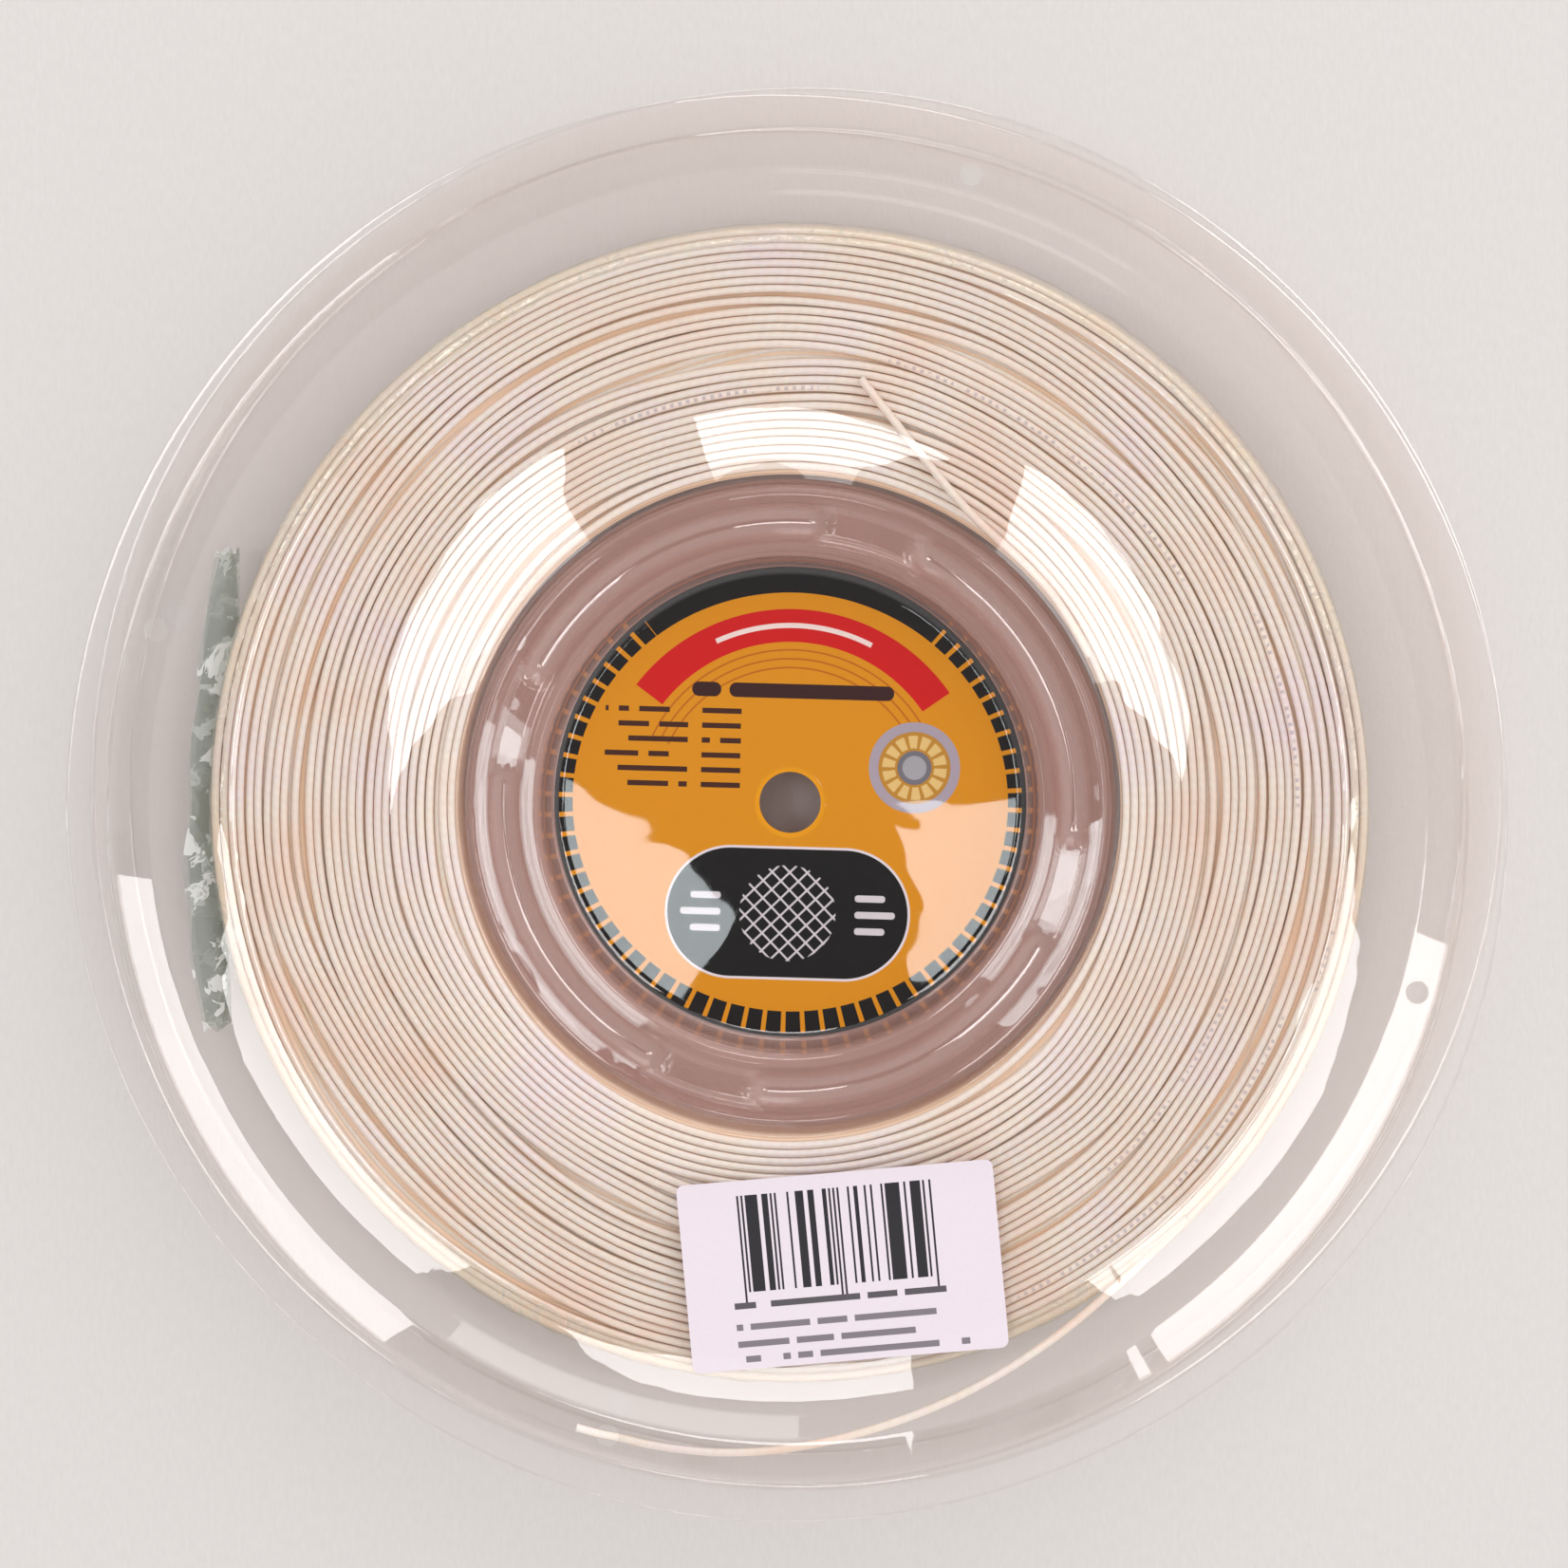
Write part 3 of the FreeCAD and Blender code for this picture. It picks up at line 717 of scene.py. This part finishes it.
# Gathered end of the wrap: the film's tail, drawn together in folds and tucked between the
# flanges on the coil's left. Several plies make it look green and grey.

ply_count, ply_rows, ply_columns = 6, 84, 6
bpy.ops.object.select_all(action="DESELECT")
bpy.ops.mesh.primitive_grid_add(x_subdivisions=ply_rows, y_subdivisions=ply_count * ply_columns,
                                size=1.0, location=(0, 0, 0))
film_gather = bpy.context.object
film_gather.name = film_gather.data.name = "film_gather"
chance = random.Random(9)
creases = [(chance.uniform(5, 34), chance.uniform(0, 6.28), chance.uniform(-2.0, 2.0))
           for _ in range(9)]
tilt = math.radians(-1.5)
top_height, gather_height, top_end, gather_length = 0.0247, 0.0131, 0.0372, 0.0755
for vertex in film_gather.data.vertices:
    along, across = vertex.co.x + 0.5, vertex.co.y + 0.5
    ply = across * ply_count
    side = 1 - 2 * abs((ply % 2) - 1)
    pinch = min(1.0, 0.45 + 3.2 * along, 0.62 + 2.4 * (1 - along))
    wrinkle = sum(math.sin(rate * along + phase + lean * ply)
                  for rate, phase, lean in creases) / len(creases)
    out = side * (0.00265 + 0.0007 * wrinkle) * pinch
    height = top_height - gather_height * across + 0.0009 * wrinkle * pinch
    run = top_end - gather_length * along + 0.0004 * math.sin(9 * ply + 3 * wrinkle)
    middle = -0.0900 - 0.0020 * math.sin(math.pi * along) + 0.0004 * math.sin(6 * along + 0.5)
    vertex.co = ((middle + out) * math.cos(tilt) - run * math.sin(tilt),
                 (middle + out) * math.sin(tilt) + run * math.cos(tilt), height)
pick(film_gather)
bpy.ops.object.mode_set(mode="EDIT")
bpy.ops.mesh.select_all(action="SELECT")
bpy.ops.mesh.normals_make_consistent(inside=False)
bpy.ops.object.mode_set(mode="OBJECT")
thicken(film_gather, 0.00006, -1)
bpy.ops.object.shade_smooth_by_angle(angle=math.radians(35))
film_gather.data.materials.append(
    thin_film("film_plies", (0.955, 0.970, 0.955, 1.0), 0.16, colour(142, 149, 141)))
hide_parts("film_strip")
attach(film_gather, "root")


# Price sticker: a paper label of 50 by 30 mm, stuck on the front flange so that it follows the
# dish. Its print is plain bars and grey rules that say nothing.

bpy.ops.object.select_all(action="DESELECT")
bpy.ops.mesh.primitive_grid_add(x_subdivisions=60, y_subdivisions=36, size=1.0,
                                location=(0, 0, 0))
price_sticker = bpy.context.object
price_sticker.name = price_sticker.data.name = "price_sticker"
sticker_turn = math.radians(5.3)
sticker_x, sticker_y = 0.0087, -0.0723
sticker_width, sticker_height, corner = 0.050, 0.030, 0.0012
for vertex in price_sticker.data.vertices:
    side, rise = vertex.co.x * sticker_width, vertex.co.y * sticker_height
    over_x = abs(side) - (sticker_width / 2 - corner)
    over_y = abs(rise) - (sticker_height / 2 - corner)
    if over_x > 0 and over_y > 0:
        past = math.hypot(over_x, over_y)
        if past > corner:
            side -= math.copysign(over_x * (1 - corner / past), side)
            rise -= math.copysign(over_y * (1 - corner / past), rise)
    far_x = sticker_x + side * math.cos(sticker_turn) - rise * math.sin(sticker_turn)
    far_y = sticker_y + side * math.sin(sticker_turn) + rise * math.cos(sticker_turn)
    lifted = max((side + 0.0225) / 0.0475, 0.0) * max((rise - 0.009) / 0.006, 0.0)
    vertex.co = (far_x, far_y, dish(math.hypot(far_x, far_y)) + 0.00007 + 0.0004 * lifted ** 2)
thicken(price_sticker, 0.00014, 1)
bpy.ops.object.shade_smooth_by_angle(angle=math.radians(40))
label, wire = finish("sticker_print")
place = wire.add("ShaderNodeTexCoord", {}, {}, "Object")
place = wire.add("ShaderNodeVectorMath", {"operation": "SUBTRACT"}, {
    0: place, 1: (sticker_x, sticker_y, 0.0)})
place = wire.add("ShaderNodeMapping", {}, {"Vector": place, "Scale": (1000.0, 1000.0, 1000.0),
                                          "Rotation": (0.0, 0.0, -sticker_turn)})
parts = wire.add("ShaderNodeSeparateXYZ", {}, {"Vector": place})
x, y = parts, parts.output(1)
fibre = wire.add("ShaderNodeTexNoise", {}, {"Vector": place, "Scale": 1.4, "Detail": 5.0})
paper = wire.blend(fibre * 0.5, colour(240, 228, 236), colour(230, 216, 228))
code_start, code_width = -16.0, 31.35
module = wire.math("FLOOR", (x - code_start) * (95 / code_width))
chance_bar = wire.add("ShaderNodeTexWhiteNoise", {"noise_dimensions": "1D"}, {"W": module})
guard = wire.math("FRACT", (module + 0.5) * 0.5) > 0.5
at_guard = (module < 3.0) + module.between(45.5, 50.5) + (module > 91.5)
solid = at_guard * guard + (1 - at_guard) * (chance_bar > 0.47)
low_end = -2.8 - at_guard * 1.6
bars = solid * x.between(code_start, code_start + code_width) * (y > low_end) * (y < 12.6)
rows = ((-4.9, 16.0), (-8.3, 14.5), (-11.0, 11.0), (-13.4, 19.0))
for row, (row_y, row_end) in enumerate(rows):
    glyph = wire.math("FLOOR", x * 0.85)
    chance_word = wire.add("ShaderNodeTexWhiteNoise", {"noise_dimensions": "2D"}, {
        "Vector": wire.add("ShaderNodeCombineXYZ", {}, {0: glyph, 1: float(row)})})
    rule = (wire.math("ABSOLUTE", y - row_y) < 0.5) * x.between(-17.5, row_end)
    bars = bars + rule * (chance_word > 0.18) * (0.75 if row else 0.9)
inked = wire.blend(wire.math("MINIMUM", bars, 1.0), paper, colour(28, 24, 32))
relief = wire.add("ShaderNodeBump", {}, {"Height": fibre, "Strength": 0.12, "Distance": 0.0001})
whole = wire.add("ShaderNodeBsdfPrincipled", {}, {
    "Base Color": inked, "Roughness": 0.48 + fibre * 0.1, "Normal": relief})
wire.add("ShaderNodeOutputMaterial", {}, {"Surface": whole})
price_sticker.data.materials.append(label)
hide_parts("barcode_sticker")
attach(price_sticker, "root")


# Table: a pale board with a fine laid texture. It isn't part of the reel.

bpy.ops.object.select_all(action="DESELECT")
bpy.ops.mesh.primitive_plane_add(size=8.0, location=(0, 0, 0))
table = bpy.context.object
table.name = table.data.name = "table"
for vertex in table.data.vertices:
    vertex.co.z = -0.0002
board, wire = finish("pale_board")
place = wire.add("ShaderNodeTexCoord", {}, {}, "Object")
laid = wire.add("ShaderNodeMapping", {}, {"Vector": place, "Scale": (1400.0, 480.0, 1.0)})
grain = wire.add("ShaderNodeTexNoise", {}, {"Vector": laid, "Scale": 1.0, "Detail": 6.0})
dot = wire.add("ShaderNodeTexNoise", {}, {"Vector": place, "Scale": 700.0, "Detail": 2.0})
pale = wire.blend(grain, colour(218, 214, 211), colour(228, 225, 222))
relief = wire.add("ShaderNodeBump", {}, {"Height": grain + dot, "Strength": 0.35,
                                        "Distance": 0.00012})
whole = wire.add("ShaderNodeBsdfPrincipled", {}, {
    "Base Color": pale, "Roughness": 0.7, "Normal": relief})
wire.add("ShaderNodeOutputMaterial", {}, {"Surface": whole})
table.data.materials.append(board)


# Light: three windows high over the reel, which the dish mirrors as long patches, two small bright
# gaps that the flat faces mirror, a soft box above its top, and a pale room, darker overhead.


def window(name, place, size_x, size_y, radiance, turn=0.0, hue=(1, 1, 1)):
    """A soft rectangular light, turned to the reel."""
    lamp = bpy.data.lights.new(name, "AREA")
    lamp.shape = "RECTANGLE"
    lamp.size = size_x
    lamp.size_y = size_y
    lamp.color = hue
    lamp.energy = radiance * math.pi * size_x * size_y
    holder = bpy.data.objects.new(name, lamp)
    bpy.context.collection.objects.link(holder)
    back = (Vector(place) - Vector((0.0, 0.0, 0.03))).normalized()
    spin = Matrix.Rotation(math.radians(turn), 4, back)
    aim = back.to_track_quat("Z", "Y").to_matrix().to_4x4()
    holder.matrix_world = Matrix.Translation(place) @ spin @ aim
    return holder


window("window_left", (-0.585, 0.137, 2.4), 0.40, 0.58, 6.4, turn=-36)
window("window_top", (-0.060, 0.375, 2.4), 0.30, 0.30, 6.4)
window("window_right", (0.375, 0.105, 2.4), 0.38, 0.46, 6.4, turn=31)
window("gap_left", (-0.196, -0.234, 2.4), 0.150, 0.078, 5.4, hue=(0.88, 0.98, 1.0))
window("gap_right", (0.011, -0.237, 2.4), 0.118, 0.066, 5.4, hue=(0.88, 0.98, 1.0))
window("soft_top", (0.55, 2.1, 1.05), 1.5, 0.9, 2.2)

world = bpy.data.worlds.new("studio")
bpy.context.scene.world = world
world.use_nodes = True
wire = Wire(world.node_tree)
background = world.node_tree.nodes["Background"]
direction = wire.add("ShaderNodeSeparateXYZ", {}, {
    "Vector": wire.add("ShaderNodeTexCoord", {}, {}, "Generated")})
glow = wire.add("ShaderNodeMapRange", {}, {
    "Value": direction.output(2), "From Min": 0.955, "From Max": 0.985,
    "To Min": 0.86, "To Max": 0.03})
wire.tree.links.new((glow * (1.0 + direction * 0.36)).socket, background.inputs["Strength"])
background.inputs["Color"].default_value = (1.0, 0.985, 0.985, 1.0)
bpy.context.scene.cycles.transparent_max_bounces = 24


# Camera: almost straight above the reel, a little to its top right, with the rim as large and as
# high in the picture as in the photograph.

lens = bpy.data.cameras.new("camera")
lens.lens = 235.0
lens.sensor_width = 36.0
lens.clip_start = 0.05
camera = bpy.data.objects.new("camera", lens)
bpy.context.collection.objects.link(camera)
lean, rim_height, distance = 0.0958, 0.0347, 1.6
stand = Vector((0.417 * lean, 0.909 * lean, 0.9954)) * distance + Vector((0, 0, rim_height))
back = (stand - Vector((-0.0003, 0.0043, rim_height))).normalized()
right = Vector((0, 1, 0)).cross(back).normalized()
up = back.cross(right)
camera.matrix_world = Matrix((
    (right.x, up.x, back.x, stand.x), (right.y, up.y, back.y, stand.y),
    (right.z, up.z, back.z, stand.z), (0, 0, 0, 1)))
bpy.context.scene.camera = camera
bpy.context.scene.view_settings.view_transform = "Standard"
